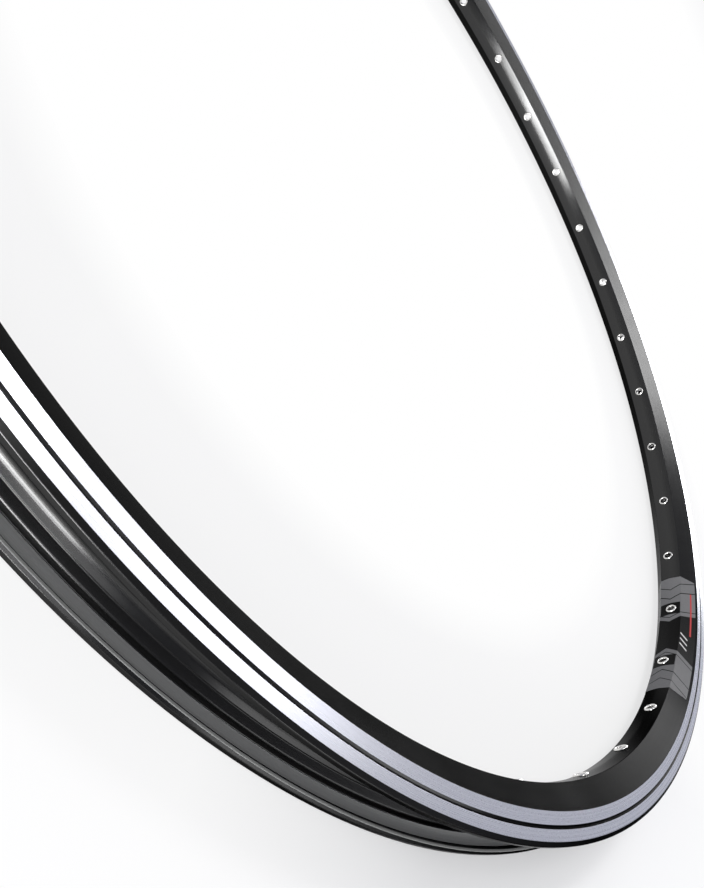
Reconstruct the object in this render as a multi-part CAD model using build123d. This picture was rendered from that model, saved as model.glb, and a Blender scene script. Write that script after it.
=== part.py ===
from build123d import *
import os
from math import degrees, hypot

# All lengths are in millimetres. The wheel axis is Z and the hoop's mid-plane is Z = 0.

# Wheel size
bead_seat_radius = 311.0
flange_height = 6.0
hoop_depth = 20.3
outer_width = 25.3
inner_width = 19.0

# Spoke bed and brake tracks
bed_width = 11.7
track_width = 8.7
lip_height = 1.5
lip_bevel = 0.6
groove_offset = 4.0
groove_width = 1.25
groove_depth = 0.55

# Flanges and tyre channel
flange_wall = 1.65
hook_height = 2.4
hook_face = 0.7
hook_round = 0.8
seat_width = 1.95
seat_fall = 0.6
shoulder_width = 1.6
shoulder_fall = 2.5
well_depth = 5.0
well_floor_width = 10.4

# Walls round the hollow chamber
bed_wall = 1.7
slope_wall = 1.15
track_wall = 1.5
tyre_bed_wall = 1.25

# Drilling
spoke_count = 36
spoke_stagger = 0.65
access_hole_diameter = 8.5
valve_hole_diameter = 8.5

# Eyelets
eyelet_bore = 4.2
eyelet_wall = 0.5
eyelet_flange_diameter = 6.4
eyelet_flange_height = 0.7
eyelet_flare = 0.6
eyelet_flare_height = 0.6
eyelet_clearance = 0.05

# Butt joint and its sleeve
joint_gap = 0.1
sleeve_length = 38.0
sleeve_clearance = 0.1

# Label
label_arc = 21.5
label_thickness = 0.1
label_clearance = 0.25
label_edge_margin = 1.6
label_hole_margin = 0.3

# Radii and half widths that follow from the sizes above
tip_radius = bead_seat_radius + flange_height
bed_radius = tip_radius - hoop_depth
track_outer_radius = tip_radius - lip_height
track_inner_radius = track_outer_radius - track_width
groove_radius = track_inner_radius + groove_offset
well_radius = bead_seat_radius - well_depth
half_width = outer_width / 2
bed_half = bed_width / 2
hook_half = inner_width / 2
wall_half = half_width - flange_wall
seat_half = wall_half - seat_width
well_half = seat_half - shoulder_width
seat_inner_radius = bead_seat_radius - seat_fall
well_edge_radius = seat_inner_radius - shoulder_fall
chamber_floor_radius = bed_radius + bed_wall
chamber_roof_radius = well_radius - tyre_bed_wall
chamber_mid_radius = (chamber_floor_radius + chamber_roof_radius) / 2

# Corners of the section that both the hoop and its label or chamber use, as (radius, distance from mid-plane)
bed_centre = (bed_radius, 0)
bed_corner = (bed_radius, bed_half)
track_corner = (track_inner_radius, half_width)
track_end = (track_outer_radius, half_width)
seat_inner_corner = (seat_inner_radius, seat_half)
well_edge = (well_edge_radius, well_half)
well_corner = (well_radius, well_floor_width / 2)
well_centre = (well_radius, 0)

# The valve hole lies on +X and the joint on -X, each midway between two spoke holes.
spoke_pitch = 360 / spoke_count
spoke_places = [
    (spoke_pitch * (i + 0.5), -spoke_stagger if i % 2 else spoke_stagger)
    for i in range(spoke_count)
]
joint_angle = 180
barrel_radius = eyelet_bore / 2 + eyelet_wall
from_axis = (Align.CENTER, Align.CENTER, Align.MIN)


def spoke_axis(angle, offset):
    """A place on the wheel axis with its Z pointing out along a spoke."""
    return Pos(0, 0, offset) * Rot(0, 0, angle) * Rot(0, 90, 0)


def outward(start, end):
    """Unit normal of a line of the section, on the side away from the metal."""
    length = hypot(end[0] - start[0], end[1] - start[1])
    return (start[1] - end[1]) / length, (end[0] - start[0]) / length


def inside_corner(before, corner, after, wall_before, wall_after):
    """The corner on the inner side of two walls that meet at an outer corner."""
    ar, az = outward(before, corner)
    br, bz = outward(corner, after)
    turn = ar * bz - az * br
    shift_r = (wall_after * az - wall_before * bz) / turn
    shift_z = (wall_before * br - wall_after * ar) / turn
    return corner[0] + shift_r, corner[1] + shift_z


def mirrored(points):
    """The same points on the other side of the mid-plane, in reverse order."""
    return [(radius, -across) for radius, across in reversed(points)]


def section_of(half):
    """A face on the plane through the wheel axis, from the outline of one half."""
    return make_face(Plane.XZ * Polyline(*half, *mirrored(half), close=True))


def hoop_outline():
    """Outside of one half of the hoop, from the spoke bed round to the tyre well."""
    hook_top = tip_radius - hook_round
    return [
        bed_corner,
        track_corner,
        (groove_radius, half_width),
        (groove_radius + groove_width / 2, half_width - groove_depth),
        (groove_radius + groove_width, half_width),
        track_end,
        (tip_radius, half_width - lip_bevel),
        (tip_radius, hook_half + hook_round),
        (hook_top, hook_half),
        (hook_top - hook_face, hook_half),
        (tip_radius - hook_height, wall_half),
        (bead_seat_radius, wall_half),
        seat_inner_corner,
        well_edge,
        well_corner,
    ]


def chamber_outline(clearance):
    """One half of the chamber between the spoke bed and the tyre bed, drawn in by a clearance."""
    bed = bed_wall + clearance
    slope = slope_wall + clearance
    track = track_wall + clearance
    tyre_bed = tyre_bed_wall + clearance
    return [
        inside_corner(bed_centre, bed_corner, track_corner, bed, slope),
        inside_corner(bed_corner, track_corner, track_end, slope, track),
        (seat_inner_radius - tyre_bed, half_width - track),
        inside_corner(seat_inner_corner, well_edge, well_corner, tyre_bed, tyre_bed),
        inside_corner(well_edge, well_corner, well_centre, tyre_bed, tyre_bed),
    ]


def drills():
    """Drills for the spoke holes, the nipple access holes and the valve hole."""
    spoke_drill = Cylinder(barrel_radius + eyelet_clearance, chamber_mid_radius, align=from_axis)
    access_drill = Cylinder(access_hole_diameter / 2, tip_radius, align=from_axis)
    valve_drill = Cylinder(valve_hole_diameter / 2, tip_radius, align=from_axis)
    tools = [spoke_axis(0, 0) * valve_drill]
    for angle, offset in spoke_places:
        tools.append(spoke_axis(angle, offset) * spoke_drill)
        tools.append(spoke_axis(angle, offset) * Pos(0, 0, chamber_mid_radius) * access_drill)
    return tools


def rim_hoop():
    """The extrusion rolled into a hoop, its two ends butted at the joint, then drilled."""
    section = section_of(hoop_outline()) - section_of(chamber_outline(0))
    gap_angle = degrees(joint_gap / tip_radius)
    start = Rot(0, 0, joint_angle + gap_angle / 2) * section
    return revolve(start, Axis.Z, 360 - gap_angle) - drills()


def eyelet():
    """One eyelet on its own axis, placed along Z from the wheel axis."""
    seat = bed_radius - eyelet_clearance
    flare_seat = chamber_floor_radius + eyelet_clearance
    outline = [
        (eyelet_bore / 2, seat - eyelet_flange_height),
        (eyelet_flange_diameter / 2, seat),
        (barrel_radius, seat),
        (barrel_radius, flare_seat),
        (barrel_radius + eyelet_flare, flare_seat),
        (eyelet_bore / 2, flare_seat + eyelet_flare_height),
    ]
    return revolve(make_face(Plane.XZ * Polyline(*outline, close=True)), Axis.Z)


def spoke_eyelets():
    """The eyelets of all the spoke holes, as separate solids."""
    one = eyelet()
    return Compound(children=[spoke_axis(angle, offset) * one for angle, offset in spoke_places])


def joint_sleeve():
    """The sleeve inside the chamber that holds the two ends of the hoop together."""
    arc = degrees(sleeve_length / chamber_mid_radius)
    start = Rot(0, 0, joint_angle - arc / 2) * section_of(chamber_outline(sleeve_clearance))
    return revolve(start, Axis.Z, arc)


def label_outline():
    """One half of the sticker's section, round the spoke bed and up a slope."""
    low = label_clearance
    high = label_clearance + label_thickness
    out_r, out_z = outward(bed_corner, track_corner)
    end_r = track_inner_radius - label_edge_margin * out_z
    end_z = half_width + label_edge_margin * out_r
    return [
        inside_corner(bed_centre, bed_corner, track_corner, -high, -high),
        (end_r + high * out_r, end_z + high * out_z),
        (end_r + low * out_r, end_z + low * out_z),
        inside_corner(bed_centre, bed_corner, track_corner, -low, -low),
    ]


def label():
    """The sticker over the joint, cut out round the eyelets that it covers."""
    start = Rot(0, 0, joint_angle - label_arc / 2) * section_of(label_outline())
    sticker = revolve(start, Axis.Z, label_arc)
    punch = Cylinder(eyelet_flange_diameter / 2 + label_hole_margin, tip_radius, align=from_axis)
    for angle, offset in spoke_places:
        if abs(angle - joint_angle) < label_arc / 2:
            sticker -= spoke_axis(angle, offset) * punch
    return sticker


os.makedirs("parts", exist_ok=True)
export_step(rim_hoop(), "parts/rim_hoop.step")
export_step(spoke_eyelets(), "parts/spoke_eyelets.step")
export_step(joint_sleeve(), "parts/joint_sleeve.step")
export_step(label(), "parts/label.step")
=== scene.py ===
import math
import bpy
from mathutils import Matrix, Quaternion, Vector


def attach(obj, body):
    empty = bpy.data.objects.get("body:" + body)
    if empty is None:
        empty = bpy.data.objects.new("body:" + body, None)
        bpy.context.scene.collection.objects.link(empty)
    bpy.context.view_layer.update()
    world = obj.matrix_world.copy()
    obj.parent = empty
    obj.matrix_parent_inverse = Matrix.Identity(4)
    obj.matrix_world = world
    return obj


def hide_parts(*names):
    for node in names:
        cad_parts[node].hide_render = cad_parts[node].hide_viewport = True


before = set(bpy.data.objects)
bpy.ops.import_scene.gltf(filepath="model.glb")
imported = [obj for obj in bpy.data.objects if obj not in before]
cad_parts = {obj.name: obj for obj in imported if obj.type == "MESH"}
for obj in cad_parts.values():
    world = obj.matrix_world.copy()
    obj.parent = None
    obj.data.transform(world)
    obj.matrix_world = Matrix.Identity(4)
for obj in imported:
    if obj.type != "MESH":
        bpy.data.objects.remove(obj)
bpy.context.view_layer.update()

# Sizes are in mm, with the wheel axis along z, the valve hole at +x and the seam at -x.
MM = 0.001

# Spoke bed: radius in the middle, half width, fall of its crown to the edges, and the crown's shape.
BED_RADIUS = 296.70
BED_HALF = 6.30
BED_CROWN = 0.66
CROWN_POWER = 1.5
CROWN_STATIONS = (0.4, 1.2, 2.0, 2.8, 3.6, 4.4, 5.2)

# Brake tracks and the wear groove in them.
HALF_WIDTH = 12.65
TRACK_START = 306.80
TRACK_END = 315.50
GROOVE_RADIUS = 311.425
GROOVE_HALF = 0.625
GROOVE_DEPTH = 0.55

# Flange, its hook and the wall inside the hook.
FLANGE_RADIUS = 317.00
FLANGE_EDGE = 12.05
HOOK_SIDE = 10.30
HOOK_TOP = 9.50
HOOK_START = 315.50
HOOK_END = 316.20
WALL_HALF = 11.00
WALL_START = 311.00
WALL_END = 314.60

# Bead seat and tyre well: radius and distance from the mid-plane.
SEAT_OUTER = (310.40, 9.05)
SEAT_INNER = (308.22, 7.80)
WELL_EDGE = (308.08, 7.40)
WELL_FLOOR = (306.00, 5.20)

# Spoke holes, radii of all holes, reach of the drills from the wheel axis, and the seam.
SPOKE_COUNT = 36
SPOKE_STEP = 360.0 / SPOKE_COUNT
SPOKE_STAGGER = 0.65
SPOKE_HOLE = 2.65
ACCESS_HOLE = 4.25
VALVE_HOLE = 4.25
DRILL_START = 290.0
BED_DRILL_END = 301.0
SEAT_DRILL_START = 302.0
DRILL_END = 312.0
DRILL_SIDES = 48
SEAM_GAP = 0.10
SAW_START = 280.0
SAW_END = 330.0
SAW_HALF = 20.0

# Eyelet: radii from its own axis, then distances from the wheel axis, then depths of its rounds.
EYELET_BORE = 2.10
EYELET_BARREL = 2.60
EYELET_BRIM = 3.20
EYELET_CREST = 295.95
EYELET_SEAT = 296.65
EYELET_FLARE = 298.45
EYELET_END = 299.05
ENTRY_DEPTH = 1.25
BRIM_DEPTH = 0.67
ENTRY_POWER = 2.7
BRIM_POWER = 1.87
ROUND_STEPS = 6
EYELET_SIDES = 40
EYELET_SHARP_DEGREES = 38

# Label: arc in degrees, height over the hoop, margin below the tracks, bend at the bed's edge.
LABEL_ARC = 21.5
LABEL_LIFT = 0.04
LABEL_THICKNESS = 0.10
LABEL_MARGIN = 1.6
LABEL_FLAT = 5.7
LABEL_BEND = 0.09
LABEL_BEND_SHIFT = (0.09, -0.03)
LABEL_BEND_END = 0.45
LABEL_STEPS = 172
LABEL_MIDDLE_DEGREES = 180.0
LABEL_SHARP_DEGREES = 40
PUNCH_RADIUS = 3.5
PUNCH_END = 299.0
PUNCH_SIDES = 64

# Fineness of the meshes, and marks for the corners of a section.
SEGMENTS = 432
ROUND_POINTS = 4
BROAD_ROUND_POINTS = 8
BROAD_ROUND = 1.0
ON_CURVE = -1.0
SHARP = 0.0
UP = Vector((0, 0, 1))


def bed_radius(z):
    """Radius of the gently crowned spoke bed at a distance from the mid-plane."""
    return BED_RADIUS + BED_CROWN * (abs(z) / BED_HALF) ** CROWN_POWER


def bed_normal(z):
    """Normal of the spoke bed at a distance from the mid-plane, as radius and height."""
    rise = CROWN_POWER * BED_CROWN / BED_HALF * (abs(z) / BED_HALF) ** (CROWN_POWER - 1)
    turn = math.atan(math.copysign(rise, z))
    return -math.cos(turn), math.sin(turn)


# Half of the hoop's section: radius, distance from the mid-plane, edge radius.
HOOP_HALF = [(bed_radius(z), z, ON_CURVE) for z in CROWN_STATIONS] + [
    (bed_radius(BED_HALF), BED_HALF, 0.50),
    (TRACK_START, HALF_WIDTH, 0.25),
    (GROOVE_RADIUS - GROOVE_HALF, HALF_WIDTH, 0.08),
    (GROOVE_RADIUS, HALF_WIDTH - GROOVE_DEPTH, 0.20),
    (GROOVE_RADIUS + GROOVE_HALF, HALF_WIDTH, 0.08),
    (TRACK_END, HALF_WIDTH, 0.20),
    (FLANGE_RADIUS, FLANGE_EDGE, 0.45),
    (FLANGE_RADIUS, HOOK_SIDE, 0.40),
    (HOOK_END, HOOK_TOP, 0.40),
    (HOOK_START, HOOK_TOP, 0.25),
    (WALL_END, WALL_HALF, 0.50),
    (WALL_START, WALL_HALF, 0.45),
    (*SEAT_OUTER, 1.10),
    (*SEAT_INNER, 0.40),
    (*WELL_EDGE, 0.20),
    (*WELL_FLOOR, 4.50),
]
# Half of the hollow chamber's section, in the same terms.
CHAMBER_HALF = [
    (298.40, 5.57, SHARP),
    (306.29, 11.15, SHARP),
    (309.15, 11.15, SHARP),
    (306.86, 8.28, SHARP),
    (304.75, 5.78, SHARP),
]
# Angle of each spoke hole in degrees, and its distance from the mid-plane.
SPOKES = [
    (SPOKE_STEP * (i + 0.5), -SPOKE_STAGGER if i % 2 else SPOKE_STAGGER)
    for i in range(SPOKE_COUNT)
]


def both_halves(half):
    """The whole section from its upper half."""
    return half + [(r, -z, edge) for r, z, edge in reversed(half)]


def rounded(corners):
    """Closed section with rounded corners, as points and normals. A sharp corner comes twice."""
    points = []
    count = len(corners)
    for i, (r, z, radius) in enumerate(corners):
        here = Vector((r, z))
        before = Vector(corners[i - 1][:2])
        after = Vector(corners[(i + 1) % count][:2])
        a = (before - here).normalized()
        b = (after - here).normalized()
        normal_in = Vector((-a.y, a.x))
        normal_out = Vector((b.y, -b.x))
        if radius == ON_CURVE:
            points.append((here, (normal_in + normal_out).normalized()))
            continue
        if radius == SHARP:
            points.append((here, normal_in))
            points.append((here, normal_out))
            continue
        side = 1.0 if a.cross(b) < 0 else -1.0
        half = 0.5 * a.angle(b)
        reach = radius / math.tan(half)
        centre = here + (a + b).normalized() * (radius / math.sin(half))
        start = here + a * reach
        end = here + b * reach
        first = math.atan2(start.y - centre.y, start.x - centre.x)
        last = math.atan2(end.y - centre.y, end.x - centre.x)
        sweep = (last - first + math.pi) % (2 * math.pi) - math.pi
        steps = BROAD_ROUND_POINTS if radius > BROAD_ROUND else ROUND_POINTS
        for k in range(steps + 1):
            angle = first + sweep * k / steps
            ray = Vector((math.cos(angle), math.sin(angle)))
            points.append((centre + ray * radius, ray * side))
    return points


def new_object(name, verts, faces):
    """A mesh object in the scene."""
    mesh = bpy.data.meshes.new(name)
    mesh.from_pydata(verts, [], faces)
    mesh.update()
    obj = bpy.data.objects.new(name, mesh)
    bpy.context.scene.collection.objects.link(obj)
    return obj


def smooth(mesh):
    """Shades every face of a mesh smoothly."""
    mesh.polygons.foreach_set("use_smooth", [True] * len(mesh.polygons))


def at_angle(angle):
    """Directions away from the wheel axis and along the rim at an angle in radians."""
    out = Vector((math.cos(angle), math.sin(angle), 0))
    side = Vector((-math.sin(angle), math.cos(angle), 0))
    return out, side


def ring_of(points, segments, offset, flip):
    """Vertices and faces of a closed section turned round the wheel axis."""
    verts = []
    faces = []
    count = len(points)
    for i in range(segments):
        angle = 2 * math.pi * (i + 0.5) / segments
        c = math.cos(angle)
        s = math.sin(angle)
        for r, z in points:
            verts.append((r * c * MM, r * s * MM, z * MM))
    for i in range(segments):
        here = offset + i * count
        there = offset + ((i + 1) % segments) * count
        for j in range(count):
            k = (j + 1) % count
            quad = (here + j, there + j, there + k, here + k)
            faces.append(quad if flip else quad[::-1])
    return verts, faces


def drill(angle_deg, z, radius, start, end, sides, offset):
    """Vertices and faces of a closed round drill along a spoke."""
    out, side = at_angle(math.radians(angle_deg))
    verts = []
    for reach in (start, end):
        for k in range(sides):
            turn = 2 * math.pi * k / sides
            p = out * reach + side * (radius * math.cos(turn)) + UP * (z + radius * math.sin(turn))
            verts.append(tuple(p * MM))
    faces = []
    for k in range(sides):
        n = (k + 1) % sides
        faces.append((offset + k, offset + n, offset + sides + n, offset + sides + k))
    faces.append(tuple(offset + k for k in reversed(range(sides))))
    faces.append(tuple(offset + sides + k for k in range(sides)))
    return verts, faces


def saw(offset):
    """Vertices and faces of the thin block that parts the hoop at its seam."""
    half = SEAM_GAP / 2
    verts = []
    for x in (-SAW_END, -SAW_START):
        for y, z in ((-half, -SAW_HALF), (half, -SAW_HALF), (half, SAW_HALF), (-half, SAW_HALF)):
            verts.append((x * MM, y * MM, z * MM))
    sides = ((0, 3, 2, 1), (4, 5, 6, 7), (0, 1, 5, 4), (1, 2, 6, 5), (2, 3, 7, 6), (3, 0, 4, 7))
    return verts, [tuple(offset + k for k in face) for face in sides]


def cut(obj, cutter):
    """Takes the cutter's volume out of the object's mesh."""
    modifier = obj.modifiers.new("holes", "BOOLEAN")
    modifier.operation = "DIFFERENCE"
    modifier.solver = "EXACT"
    modifier.object = cutter
    graph = bpy.context.evaluated_depsgraph_get()
    mesh = bpy.data.meshes.new_from_object(obj.evaluated_get(graph))
    obj.modifiers.clear()
    old = obj.data
    obj.data = mesh
    bpy.data.meshes.remove(old)
    bpy.data.objects.remove(cutter)


def section_key(r, z):
    """Place of a section point, rounded so that it can be looked up."""
    return round(r, 2), round(z, 2)


def hoop_normals(mesh, table):
    """Sets the true surface normals of the turned section on every face corner."""
    bed_depth = 0.03
    bed_round = 0.4
    least_match = 0.8
    corners = [None] * len(mesh.loops)
    for poly in mesh.polygons:
        flat = poly.normal
        for index in poly.loop_indices:
            p = mesh.vertices[mesh.loops[index].vertex_index].co
            r = math.hypot(p.x, p.y) / MM
            z = p.z / MM
            out = Vector((p.x, p.y, 0)).normalized()
            choices = table.get(section_key(r, z), [])
            if r < bed_radius(z) + bed_depth and abs(z) < BED_HALF - bed_round:
                choices = [bed_normal(z)]
            elif not choices:
                choices = [(-1, 0), (1, 0)]
            best = flat
            match = least_match
            for nr, nz in choices:
                normal = out * nr + UP * nz
                if normal.dot(flat) > match:
                    match = normal.dot(flat)
                    best = normal
            corners[index] = best.normalized()
    smooth(mesh)
    mesh.normals_split_custom_set(corners)


def make_hoop():
    """The hollow hoop with its holes and its seam."""
    outside = rounded(both_halves(HOOP_HALF))
    inside = rounded(both_halves(CHAMBER_HALF))
    verts, faces = ring_of([p for p, n in outside], SEGMENTS, 0, True)
    more, more_faces = ring_of([p for p, n in inside[::2]], SEGMENTS, len(verts), False)
    obj = new_object("rim_hoop_fine", verts + more, faces + more_faces)
    table = {}
    for p, n in outside:
        table.setdefault(section_key(p.x, p.y), []).append((n.x, n.y))
    for p, n in inside:
        table.setdefault(section_key(p.x, p.y), []).append((-n.x, -n.y))

    holes = [(0.0, 0.0, VALVE_HOLE, DRILL_START, DRILL_END)]
    for angle, z in SPOKES:
        holes.append((angle, z, SPOKE_HOLE, DRILL_START, BED_DRILL_END))
        holes.append((angle, z, ACCESS_HOLE, SEAT_DRILL_START, DRILL_END))
    verts = []
    faces = []
    for hole in holes:
        more, more_faces = drill(*hole, DRILL_SIDES, len(verts))
        verts += more
        faces += more_faces
    more, more_faces = saw(len(verts))
    cut(obj, new_object("drills", verts + more, faces + more_faces))
    hoop_normals(obj.data, table)
    return obj


def paint_hoop(obj, black, bare, wall, lip):
    """Bare tracks, satin walls inside the hooks whose grey is painted light, darker satin hook tops
    whose grey is a painted highlight line, and black for the rest.
    """
    track_depth = 0.004
    track_tilt = 0.9
    wall_inset = 0.2
    wall_depth = 0.02
    lip_inset = 0.2
    lip_depth = 0.22
    obj.data.materials.clear()
    for material in (black, bare, wall, lip):
        obj.data.materials.append(material)
    for poly in obj.data.polygons:
        radius = math.hypot(poly.center.x, poly.center.y) / MM
        height = abs(poly.center.z) / MM
        if abs(height - HALF_WIDTH) < track_depth and abs(poly.normal.z) > track_tilt:
            poly.material_index = 1
        # Painted light: the walls inside the hooks are grey.
        on_wall = WALL_START + wall_inset < radius < WALL_END - wall_inset
        if on_wall and abs(height - WALL_HALF) < wall_depth:
            poly.material_index = 2
        # Painted highlight: the hook tops are a darker grey.
        on_lip = HOOK_START - lip_inset < radius < HOOK_END + lip_inset
        if on_lip and height < HOOK_TOP + lip_depth:
            poly.material_index = 3


def round_quarter(middle, wide, deep, power, start):
    """Points of a rounded quarter that goes on for 90 degrees from its start."""
    points = []
    for k in range(ROUND_STEPS + 1):
        angle = math.radians(start + 90 * k / ROUND_STEPS)
        c = math.cos(angle)
        s = math.sin(angle)
        x = middle[0] + wide * math.copysign(abs(c) ** (2 / power), c)
        y = middle[1] + deep * math.copysign(abs(s) ** (2 / power), s)
        points.append((x, y))
    return points


def eyelet_section():
    """Closed section of an eyelet: radius from its own axis, distance from the wheel axis."""
    entry_middle = (EYELET_BARREL, EYELET_CREST + ENTRY_DEPTH)
    brim_middle = (EYELET_BARREL, EYELET_CREST + BRIM_DEPTH)
    entry = round_quarter(entry_middle, EYELET_BARREL - EYELET_BORE, ENTRY_DEPTH, ENTRY_POWER, 180)
    brim = round_quarter(brim_middle, EYELET_BRIM - EYELET_BARREL, BRIM_DEPTH, BRIM_POWER, 270)
    bore = [(EYELET_BORE, EYELET_END - 0.05), (EYELET_BORE, EYELET_END - 0.95)]
    barrel = [
        (EYELET_BRIM - 0.05, EYELET_SEAT),
        (EYELET_BARREL, EYELET_SEAT),
        (EYELET_BARREL, EYELET_FLARE),
    ]
    flare = [
        (EYELET_BRIM - 0.04, EYELET_FLARE),
        (EYELET_BRIM, EYELET_FLARE + 0.05),
        (EYELET_BRIM - 0.10, EYELET_END - 0.39),
        (EYELET_BARREL + 0.10, EYELET_END - 0.15),
        (EYELET_BORE + 0.20, EYELET_END - 0.01),
        (EYELET_BORE + 0.06, EYELET_END),
    ]
    return bore + entry + brim[1:] + barrel + flare


def make_eyelets():
    """One eyelet in each spoke hole."""
    section = eyelet_section()
    count = len(section)
    verts = []
    faces = []
    for angle_deg, z in SPOKES:
        out, side = at_angle(math.radians(angle_deg))
        base = len(verts)
        for k in range(EYELET_SIDES):
            turn = 2 * math.pi * k / EYELET_SIDES
            ray = side * math.cos(turn) + UP * math.sin(turn)
            for r, reach in section:
                verts.append(tuple((out * reach + ray * r + UP * z) * MM))
        for k in range(EYELET_SIDES):
            here = base + k * count
            there = base + ((k + 1) % EYELET_SIDES) * count
            for j in range(count):
                n = (j + 1) % count
                faces.append((here + j, here + n, there + n, there + j))
    obj = new_object("spoke_eyelets_fine", verts, faces)
    smooth(obj.data)
    obj.data.set_sharp_from_angle(angle=math.radians(EYELET_SHARP_DEGREES))
    return obj


def label_path(lift):
    """Points across the label at a height over the hoop: bed, bend and slope, on both sides."""
    bed_steps = 5
    bend_steps = 6
    slope_steps = 6
    corner = Vector((bed_radius(BED_HALF), BED_HALF))
    slope_top = Vector((TRACK_START, HALF_WIDTH))
    slope = (slope_top - corner).normalized()
    away = Vector((-slope.y, slope.x))
    half = []
    for k in range(bed_steps + 1):
        z = LABEL_FLAT * k / bed_steps
        half.append((bed_radius(z) - lift, z))
    for k in range(1, bend_steps):
        share = k / bend_steps
        ray = Vector((-1, 0)) * (1 - share) + away * share
        bend = corner + Vector(LABEL_BEND_SHIFT) + ray.normalized() * (lift + LABEL_BEND)
        half.append(tuple(bend))
    start = corner + slope * LABEL_BEND_END + away * lift
    end = slope_top - slope * LABEL_MARGIN + away * lift
    for k in range(slope_steps + 1):
        half.append(tuple(start + (end - start) * (k / slope_steps)))
    return [(r, -z) for r, z in reversed(half[1:])] + half


def place_label(mesh, path):
    """Writes the place on the flat label, in mm from its middle, as the mesh's UV map."""
    path = [Vector(p) for p in path]
    across = [0.0]
    for a, b in zip(path, path[1:]):
        across.append(across[-1] + (b - a).length)
    middle = across[-1] / 2
    layer = mesh.uv_layers.new(name="place")
    for loop in mesh.loops:
        p = mesh.vertices[loop.vertex_index].co / MM
        here = Vector((math.hypot(p.x, p.y), p.z))
        turned = math.degrees(math.atan2(p.y, p.x)) % 360 - LABEL_MIDDLE_DEGREES
        nearest = None
        for k, (a, b) in enumerate(zip(path, path[1:])):
            step = b - a
            share = max(0.0, min(1.0, (here - a).dot(step) / step.length_squared))
            gap = (a + step * share - here).length
            if nearest is None or gap < nearest[0]:
                nearest = (gap, across[k] + step.length * share - middle)
        layer.data[loop.index].uv = (math.radians(turned) * BED_RADIUS, nearest[1])


def make_label():
    """The thin label over the spoke bed and both slopes, punched at the eyelets."""
    low = label_path(LABEL_LIFT)
    high = label_path(LABEL_LIFT + LABEL_THICKNESS)
    count = len(low)
    width = 2 * count
    verts = []
    for i in range(LABEL_STEPS + 1):
        turned = LABEL_ARC * i / LABEL_STEPS - LABEL_ARC / 2
        angle = math.radians(LABEL_MIDDLE_DEGREES + turned)
        c = math.cos(angle)
        s = math.sin(angle)
        for r, z in high + low:
            verts.append((r * c * MM, r * s * MM, z * MM))
    faces = []
    for i in range(LABEL_STEPS):
        a = i * width
        b = a + width
        for j in range(count - 1):
            faces.append((a + j, a + j + 1, b + j + 1, b + j))
            faces.append((a + count + j, b + count + j, b + count + j + 1, a + count + j + 1))
        faces.append((a, b, b + count, a + count))
        faces.append((a + count - 1, a + width - 1, b + width - 1, b + count - 1))
    for i, turn in ((0, 1), (LABEL_STEPS, -1)):
        a = i * width
        for j in range(count - 1):
            faces.append((a + j, a + count + j, a + count + j + 1, a + j + 1)[::turn])
    obj = new_object("label_fine", verts, faces)

    verts = []
    faces = []
    for angle, z in SPOKES:
        if abs(angle - LABEL_MIDDLE_DEGREES) < LABEL_ARC / 2:
            hole = (angle, z, PUNCH_RADIUS, DRILL_START, PUNCH_END)
            more, more_faces = drill(*hole, PUNCH_SIDES, len(verts))
            verts += more
            faces += more_faces
    cut(obj, new_object("punch", verts, faces))
    smooth(obj.data)
    obj.data.set_sharp_from_angle(angle=math.radians(LABEL_SHARP_DEGREES))
    place_label(obj.data, low)
    return obj


# Range that most of a noise lies in, fineness of the grain and depth of the bumps in metres.
NOISE_LOW = 0.3
NOISE_HIGH = 0.7
GRAIN_SCALE = 2600.0
BUMP_DEPTH = 0.00003


def grey(tone):
    """A neutral colour."""
    return tone, tone, tone, 1


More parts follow.
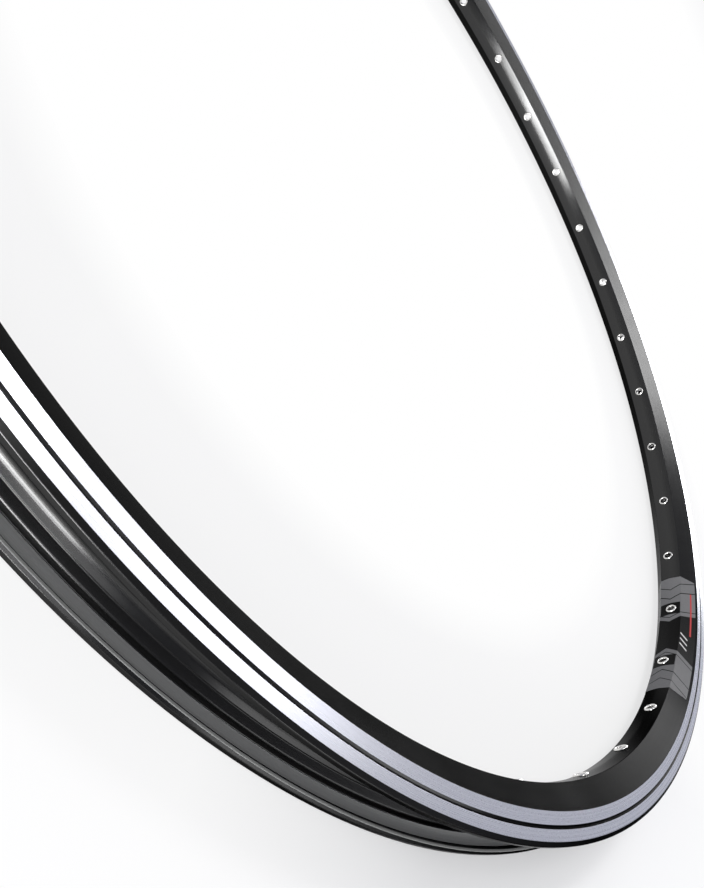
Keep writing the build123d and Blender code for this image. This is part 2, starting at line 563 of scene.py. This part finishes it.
class Tree:
    """Small helper that writes a material's node tree in order."""

    def __init__(self, name):
        self.material = bpy.data.materials.new(name)
        self.material.use_nodes = True
        self.tree = self.material.node_tree
        self.tree.nodes.clear()
        self.out = self.tree.nodes.new("ShaderNodeOutputMaterial")

    def node(self, kind, **inputs):
        node = self.tree.nodes.new(kind)
        for key, value in inputs.items():
            self.put(node.inputs[key.replace("_", " ")], value)
        return node

    def put(self, socket, value):
        if isinstance(value, bpy.types.NodeSocket):
            self.tree.links.new(value, socket)
        else:
            socket.default_value = value

    def math(self, operation, *values):
        node = self.tree.nodes.new("ShaderNodeMath")
        node.operation = operation
        for k, value in enumerate(values):
            self.put(node.inputs[k], value)
        return node.outputs[0]

    def plus(self, a, b):
        return self.math("ADD", a, b)

    def times(self, a, b):
        return self.math("MULTIPLY", a, b)

    def most(self, *values):
        """The greatest of some values."""
        greatest = values[0]
        for value in values[1:]:
            greatest = self.math("MAXIMUM", greatest, value)
        return greatest

    def ramp(self, value, low, high, start=0.0, end=1.0):
        """Goes from start to end while the value goes from low to high."""
        node = self.node("ShaderNodeMapRange")
        self.put(node.inputs["Value"], value)
        for key, number in (("From Min", low), ("From Max", high), ("To Min", start), ("To Max", end)):
            self.put(node.inputs[key], number)
        return node.outputs[0]

    def spread(self, noise, start=0.0, end=1.0):
        """Stretches a noise between two values."""
        return self.ramp(noise, NOISE_LOW, NOISE_HIGH, start, end)

    def mix(self, factor, a, b):
        """Blends two colours. The colour sockets of the node go by number."""
        node = self.tree.nodes.new("ShaderNodeMix")
        node.data_type = "RGBA"
        self.put(node.inputs["Factor"], factor)
        self.put(node.inputs[6], a)
        self.put(node.inputs[7], b)
        return node.outputs[2]

    def vector(self, x, y, z):
        node = self.tree.nodes.new("ShaderNodeCombineXYZ")
        for k, value in enumerate((x, y, z)):
            self.put(node.inputs[k], value)
        return node.outputs[0]

    def noise(self, vector, scale, detail):
        node = self.node("ShaderNodeTexNoise", Scale=scale, Detail=detail)
        self.put(node.inputs["Vector"], vector)
        return node.outputs[0]

    def grain(self, place):
        """The fine grain of a surface."""
        return self.noise(place, GRAIN_SCALE, 2.0)

    def bump(self, shader, height, strength, distance=BUMP_DEPTH):
        """Roughens a shader's surface by a height."""
        node = self.node("ShaderNodeBump", Strength=strength, Distance=distance)
        self.put(node.inputs["Height"], height)
        self.put(shader.inputs["Normal"], node.outputs[0])

    def round_place(self):
        """Place in metres, then radius in mm, angle and height in mm round the wheel axis."""
        place = self.node("ShaderNodeTexCoord").outputs["Object"]
        parts = self.tree.nodes.new("ShaderNodeSeparateXYZ")
        self.put(parts.inputs[0], place)
        x, y, z = parts.outputs
        square = self.plus(self.times(x, x), self.times(y, y))
        radius = self.times(self.math("SQRT", square), 1 / MM)
        angle = self.math("ARCTAN2", y, x)
        return place, radius, angle, self.times(z, 1 / MM)

    def draw_lines(self, shader, amount):
        """Spreads reflections across fine lines that run round the wheel axis."""
        quarter_turn = 0.25
        shader.inputs["Anisotropic"].default_value = amount
        shader.inputs["Anisotropic Rotation"].default_value = quarter_turn
        tangent = self.node("ShaderNodeTangent")
        tangent.direction_type = "RADIAL"
        tangent.axis = "Z"
        self.put(shader.inputs["Tangent"], tangent.outputs[0])

    def metal(self, colour, rough):
        return self.node("ShaderNodeBsdfPrincipled", Base_Color=colour, Roughness=rough, Metallic=1.0)

    def coating(self, colour, rough, gloss):
        """A surface that is no metal, with a little gloss."""
        shader = self.node("ShaderNodeBsdfPrincipled", Base_Color=colour, Roughness=rough)
        shader.inputs["Specular IOR Level"].default_value = gloss
        return shader

    def finish(self, shader):
        self.tree.links.new(shader.outputs[0], self.out.inputs[0])
        return self.material


def black_finish():
    """Black anodised metal with drawn lines. The edge tone dulls its gloss at low angles."""
    streaks_per_mm = 2.2
    cloud_scale = 70.0
    edge_tone = 0.306
    t = Tree("black_anodised")
    place, radius, angle, z = t.round_place()
    drawn = t.vector(t.times(radius, streaks_per_mm), t.times(z, streaks_per_mm), angle)
    streak = t.noise(drawn, 1.0, 3.0)
    grain = t.grain(place)
    cloud = t.noise(place, cloud_scale, 3.0)
    rough = t.plus(t.spread(streak, -0.02, 0.02), t.spread(grain, 0.205, 0.235))
    rough = t.plus(rough, t.spread(cloud, -0.01, 0.01))
    shader = t.metal(t.mix(t.spread(grain), grey(0.047), grey(0.051)), rough)
    shader.inputs["Specular Tint"].default_value = grey(edge_tone)
    t.draw_lines(shader, 0.6)
    t.bump(shader, t.plus(streak, t.times(grain, 0.25)), 0.05, 0.00004)
    return t.finish(shader)


def grey_satin_painted_light(name, dark, pale):
    """A satin grey between a dark and a pale tone, with fine lines along the rim. The grey is painted
    light on metal that is black anodised.
    """
    lines_per_mm = 3.0
    t = Tree(name)
    place, radius, angle, _ = t.round_place()
    drawn = t.noise(t.vector(t.times(radius, lines_per_mm), 1.0, angle), 1.0, 3.0)
    grain = t.grain(place)
    rough = t.plus(t.spread(drawn, 0.42, 0.50), t.spread(grain, -0.03, 0.03))
    shader = t.coating(t.mix(t.spread(drawn), dark, pale), rough, 0.10)
    t.bump(shader, grain, 0.05)
    return t.finish(shader)


def bare_track():
    """Bare aluminium, turned in fine lines."""
    fine_per_mm = 5.5
    broad_per_mm = 1.1
    speck_scale = 1800.0
    t = Tree("machined_track")
    place, radius, angle, _ = t.round_place()
    fine = t.vector(t.times(radius, fine_per_mm), 0.0, t.times(angle, 0.5))
    fine = t.noise(fine, 1.0, 1.0)
    broad = t.vector(t.times(radius, broad_per_mm), 3.0, t.times(angle, 0.3))
    broad = t.noise(broad, 1.0, 1.0)
    speck = t.noise(place, speck_scale, 2.0)
    tone = t.plus(t.times(fine, 0.6), t.times(broad, 0.4))
    colour = t.mix(t.spread(tone), (0.63, 0.64, 0.70, 1), (0.74, 0.75, 0.81, 1))
    rough = t.plus(t.spread(fine, 0.26, 0.32), t.spread(speck, -0.008, 0.008))
    shader = t.metal(colour, rough)
    t.draw_lines(shader, 0.5)
    t.bump(shader, fine, 0.05)
    return t.finish(shader)


def polished_steel():
    """Stainless steel with light scratches, for the eyelets."""
    scratch_scale = 2200.0
    cloud_scale = 300.0
    t = Tree("polished_steel")
    place = t.node("ShaderNodeTexCoord").outputs["Object"]
    scratch = t.noise(place, scratch_scale, 3.0)
    cloud = t.noise(place, cloud_scale, 2.0)
    colour = t.mix(t.spread(cloud), (0.72, 0.71, 0.69, 1), (0.84, 0.83, 0.81, 1))
    rough = t.plus(t.spread(scratch, 0.20, 0.30), t.spread(cloud, -0.02, 0.03))
    shader = t.metal(colour, rough)
    t.bump(shader, scratch, 0.06)
    return t.finish(shader)


def mill_finish():
    """Aluminium as it leaves the mill, for the sleeve."""
    lines_per_mm = 4.0
    t = Tree("mill_aluminium")
    _, radius, angle, z = t.round_place()
    drawn = t.vector(t.times(radius, lines_per_mm), t.times(z, lines_per_mm), angle)
    drawn = t.noise(drawn, 1.0, 3.0)
    colour = t.mix(t.spread(drawn), (0.60, 0.60, 0.62, 1), (0.75, 0.75, 0.77, 1))
    shader = t.metal(colour, t.spread(drawn, 0.34, 0.46))
    t.bump(shader, drawn, 0.1)
    return t.finish(shader)


# Design of the label in mm from its middle: along the rim, and across it.
LABEL_SOFT = 0.05
LABEL_SLANT = 0.62
LABEL_MIDDLE_END = 13.5
LABEL_PATCH = (20.5, 31.5)
LABEL_PATCH_HALF = 6.05
LABEL_PIN_LINES = ((17.0, 17.7), (35.0, 35.8), (44.0, 44.7))
RED_ACROSS = (12.6, 13.6)
RED_ALONG = (3.0, 43.0)
BAR_LEAN = 0.8
BARS_PER_MM = 0.2
BAR_SHARE = (0.30, 0.55)
BAR_ACROSS = (7.0, 11.6)
BAR_ALONG = (-6.0, 9.0)


def label_film():
    """A plain grey label with a black middle, slanted pin lines, pale bars and a red line."""
    speck_scale = 9.0
    t = Tree("label_film")
    place = t.node("ShaderNodeUVMap")
    place.uv_map = "place"
    parts = t.tree.nodes.new("ShaderNodeSeparateXYZ")
    t.put(parts.inputs[0], place.outputs[0])
    u = parts.outputs[0]
    v = parts.outputs[1]
    along = t.math("ABSOLUTE", u)
    across = t.math("ABSOLUTE", v)

    def above(value, limit):
        return t.ramp(value, limit - LABEL_SOFT, limit + LABEL_SOFT)

    def below(value, limit):
        return t.ramp(value, limit - LABEL_SOFT, limit + LABEL_SOFT, 1.0, 0.0)

    def band(value, limits):
        return t.times(above(value, limits[0]), below(value, limits[1]))

    slant = t.math("SUBTRACT", along, t.times(across, LABEL_SLANT))
    middle = below(slant, LABEL_MIDDLE_END)
    patch = t.times(band(along, LABEL_PATCH), below(across, LABEL_PATCH_HALF))
    dark = t.most(middle, patch, *[band(slant, line) for line in LABEL_PIN_LINES])
    red = t.times(band(v, RED_ACROSS), band(u, RED_ALONG))
    lean = t.plus(u, t.times(v, BAR_LEAN))
    bars = band(t.math("FRACT", t.times(lean, BARS_PER_MM)), BAR_SHARE)
    pale = t.times(t.times(bars, band(v, BAR_ACROSS)), band(lean, BAR_ALONG))
    speck = t.noise(place.outputs[0], speck_scale, 2.0)
    ground = t.ramp(speck, 0.35, 0.65)
    colour = t.mix(ground, (0.125, 0.125, 0.128, 1), (0.165, 0.165, 0.168, 1))
    colour = t.mix(dark, colour, grey(0.004))
    colour = t.mix(pale, colour, grey(0.62))
    colour = t.mix(red, colour, (0.42, 0.05, 0.05, 1))
    shader = t.coating(colour, t.spread(speck, 0.24, 0.32), 0.02)
    t.bump(shader, speck, 0.05)
    return t.finish(shader)


# Floor in metres and its tone, then how white it shows: in the shadow, beside it and far from it.
FLOOR_REACH = 30.0
FLOOR_TONE = 0.84
SHADOW_WHITE = 0.05
BESIDE_WHITE = 0.72
FAR_WHITE = 1.0
# Where that changes: radii in mm inside, under and outside the rim, then angles in radians.
INSIDE_FADE = (230.0, 300.0)
UNDER_FADE = (306.0, 310.0)
OUTSIDE_FADE = (335.0, 460.0)
SHADOW_START = (1.95, 2.25)
SHADOW_END = (2.90, 3.12)


def show_through(t, diffuse):
    """White for the camera and for reflections, over a floor that keeps its shadow."""
    path = t.node("ShaderNodeLightPath")
    rays = ("Is Camera Ray", "Is Glossy Ray", "Is Transmission Ray")
    seen = t.most(*[path.outputs[ray] for ray in rays])
    glow = t.node("ShaderNodeEmission", Color=grey(1.0), Strength=1.0)
    _, radius, angle, _ = t.round_place()
    share = t.most(
        t.ramp(radius, *INSIDE_FADE, FAR_WHITE, SHADOW_WHITE),
        t.ramp(radius, *UNDER_FADE, BESIDE_WHITE, SHADOW_WHITE),
        t.ramp(radius, *OUTSIDE_FADE, SHADOW_WHITE, FAR_WHITE),
        t.ramp(angle, *SHADOW_START, BESIDE_WHITE, SHADOW_WHITE),
        t.ramp(angle, *SHADOW_END, SHADOW_WHITE, BESIDE_WHITE),
    )
    mix = t.tree.nodes.new("ShaderNodeMixShader")
    t.put(mix.inputs[0], t.times(seen, share))
    t.put(mix.inputs[1], diffuse.outputs[0])
    t.put(mix.inputs[2], glow.outputs[0])
    return mix


def make_floor():
    """The pale floor that the rim lies on."""
    z = -HALF_WIDTH * MM
    corners = ((-1, -1), (1, -1), (1, 1), (-1, 1))
    verts = [(x * FLOOR_REACH, y * FLOOR_REACH, z) for x, y in corners]
    floor = new_object("floor", verts, [(0, 1, 2, 3)])
    t = Tree("pale_floor")
    paint = t.node("ShaderNodeBsdfDiffuse", Color=grey(FLOOR_TONE))
    floor.data.materials.append(t.finish(show_through(t, paint)))


# Colour of the studio by height, from the horizon at 0 to straight up at 1.
SKY = (
    (0.00, (1.00, 1.00, 1.00, 1)),
    (0.04, (0.90, 0.90, 0.92, 1)),
    (0.16, (0.42, 0.43, 0.48, 1)),
    (0.40, (0.50, 0.51, 0.57, 1)),
    (0.70, (0.38, 0.38, 0.41, 1)),
    (1.00, (0.20, 0.20, 0.21, 1)),
)
# Direction in which the studio is dimmer, where that starts and ends, and how dim it gets.
DIM_DIRECTION = (-0.966, 0.259, 0.0)
DIM_RANGE = (0.45, 0.95)
DIM_LEVEL = 0.25


def make_world():
    """A studio that is brightest at the horizon and dimmer on one side."""
    world = bpy.data.worlds.new("studio")
    bpy.context.scene.world = world
    world.use_nodes = True
    nodes = world.node_tree.nodes
    links = world.node_tree.links
    nodes.clear()
    place = nodes.new("ShaderNodeTexCoord")
    parts = nodes.new("ShaderNodeSeparateXYZ")
    links.new(place.outputs["Generated"], parts.inputs[0])
    ramp = nodes.new("ShaderNodeValToRGB")
    links.new(parts.outputs[2], ramp.inputs[0])
    stops = ramp.color_ramp.elements
    given = len(stops)
    for k, (height, colour) in enumerate(SKY):
        stop = stops[k] if k < given else stops.new(height)
        stop.position = height
        stop.color = colour
    toward = nodes.new("ShaderNodeVectorMath")
    toward.operation = "DOT_PRODUCT"
    toward.inputs[1].default_value = DIM_DIRECTION
    links.new(place.outputs["Generated"], toward.inputs[0])
    dim = nodes.new("ShaderNodeMapRange")
    dim.inputs["From Min"].default_value = DIM_RANGE[0]
    dim.inputs["From Max"].default_value = DIM_RANGE[1]
    dim.inputs["To Min"].default_value = 1.0
    dim.inputs["To Max"].default_value = DIM_LEVEL
    links.new(toward.outputs["Value"], dim.inputs["Value"])
    sky = nodes.new("ShaderNodeBackground")
    links.new(ramp.outputs[0], sky.inputs[0])
    links.new(dim.outputs[0], sky.inputs[1])
    out = nodes.new("ShaderNodeOutputWorld")
    links.new(sky.outputs[0], out.inputs[0])


# Lamps: name, azimuth and elevation in degrees, distance, width and height in metres, radiance.
LAMPS = (
    ("key", 288, 60, 2.0, 0.46, 0.43, 12.0),
    ("side", 245, 51, 1.85, 0.98, 0.62, 1.9),
    ("back", 248, 10.5, 2.0, 0.9, 0.56, 8.0),
    ("rise", 256, 23, 2.0, 0.9, 0.32, 6.5),
    ("front", 85.5, 8, 1.6, 0.70, 0.38, 32.0),
    ("glint", 103, 7, 1.6, 0.50, 0.38, 22.0),
    ("sweep", 112, 28, 1.6, 0.45, 0.34, 2.0),
    ("turn", 158, 20, 1.6, 1.06, 0.28, 2.8),
    ("top", 62, 64, 2.0, 1.0, 0.8, 3.2),
)


def make_lamp(name, azimuth, elevation, distance, width, height, radiance):
    """A soft rectangular lamp that faces the middle of the rim."""
    light = bpy.data.lights.new(name, "AREA")
    light.shape = "RECTANGLE"
    light.size = width
    light.size_y = height
    light.energy = radiance * math.pi * width * height
    obj = bpy.data.objects.new(name, light)
    bpy.context.scene.collection.objects.link(obj)
    out, _ = at_angle(math.radians(azimuth))
    rise = math.radians(elevation)
    away = out * math.cos(rise) + UP * math.sin(rise)
    obj.location = away * distance
    obj.rotation_euler = (-away).to_track_quat("-Z", "Y").to_euler()


# Camera: place and aim in metres, roll in degrees, lens and sensor in mm, shift of the frame.
CAMERA_PLACE = (-0.049959, 0.409830, 0.135869)
CAMERA_AIM = (-0.090709, 0.164204, 0.0)
CAMERA_ROLL = 65.857
CAMERA_LENS = 31.957
CAMERA_SENSOR = 36.0
CAMERA_SHIFT = (-0.04865, -0.02365)
CAMERA_CLIP = (0.01, 100.0)


def make_camera():
    """The camera at the photograph's viewing angle."""
    data = bpy.data.cameras.new("camera")
    data.lens = CAMERA_LENS
    data.sensor_width = CAMERA_SENSOR
    data.shift_x, data.shift_y = CAMERA_SHIFT
    data.clip_start, data.clip_end = CAMERA_CLIP
    obj = bpy.data.objects.new("camera", data)
    bpy.context.scene.collection.objects.link(obj)
    look = (Vector(CAMERA_AIM) - Vector(CAMERA_PLACE)).to_track_quat("-Z", "Y")
    obj.location = CAMERA_PLACE
    obj.rotation_euler = (look @ Quaternion(UP, math.radians(CAMERA_ROLL))).to_euler()
    bpy.context.scene.camera = obj


hoop = make_hoop()
# The grey on the walls inside the hooks is painted light.
wall = grey_satin_painted_light("painted_light_wall", (0.33, 0.335, 0.33, 1), (0.40, 0.405, 0.40, 1))
# The darker grey on the hook tops is a painted highlight line.
lip = grey_satin_painted_light("painted_highlight_lip", (0.15, 0.152, 0.15, 1), (0.19, 0.192, 0.19, 1))
paint_hoop(hoop, black_finish(), bare_track(), wall, lip)
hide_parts("rim_hoop")
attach(hoop, "root")

eyelets = make_eyelets()
eyelets.data.materials.append(polished_steel())
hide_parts("spoke_eyelets")
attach(eyelets, "root")

sticker = make_label()
sticker.data.materials.clear()
sticker.data.materials.append(label_film())
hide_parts("label")
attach(sticker, "root")

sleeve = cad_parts["joint_sleeve"]
sleeve.data.materials.clear()
sleeve.data.materials.append(mill_finish())

make_floor()
make_world()
for lamp in LAMPS:
    make_lamp(*lamp)
make_camera()
bpy.context.scene.view_settings.view_transform = "Standard"
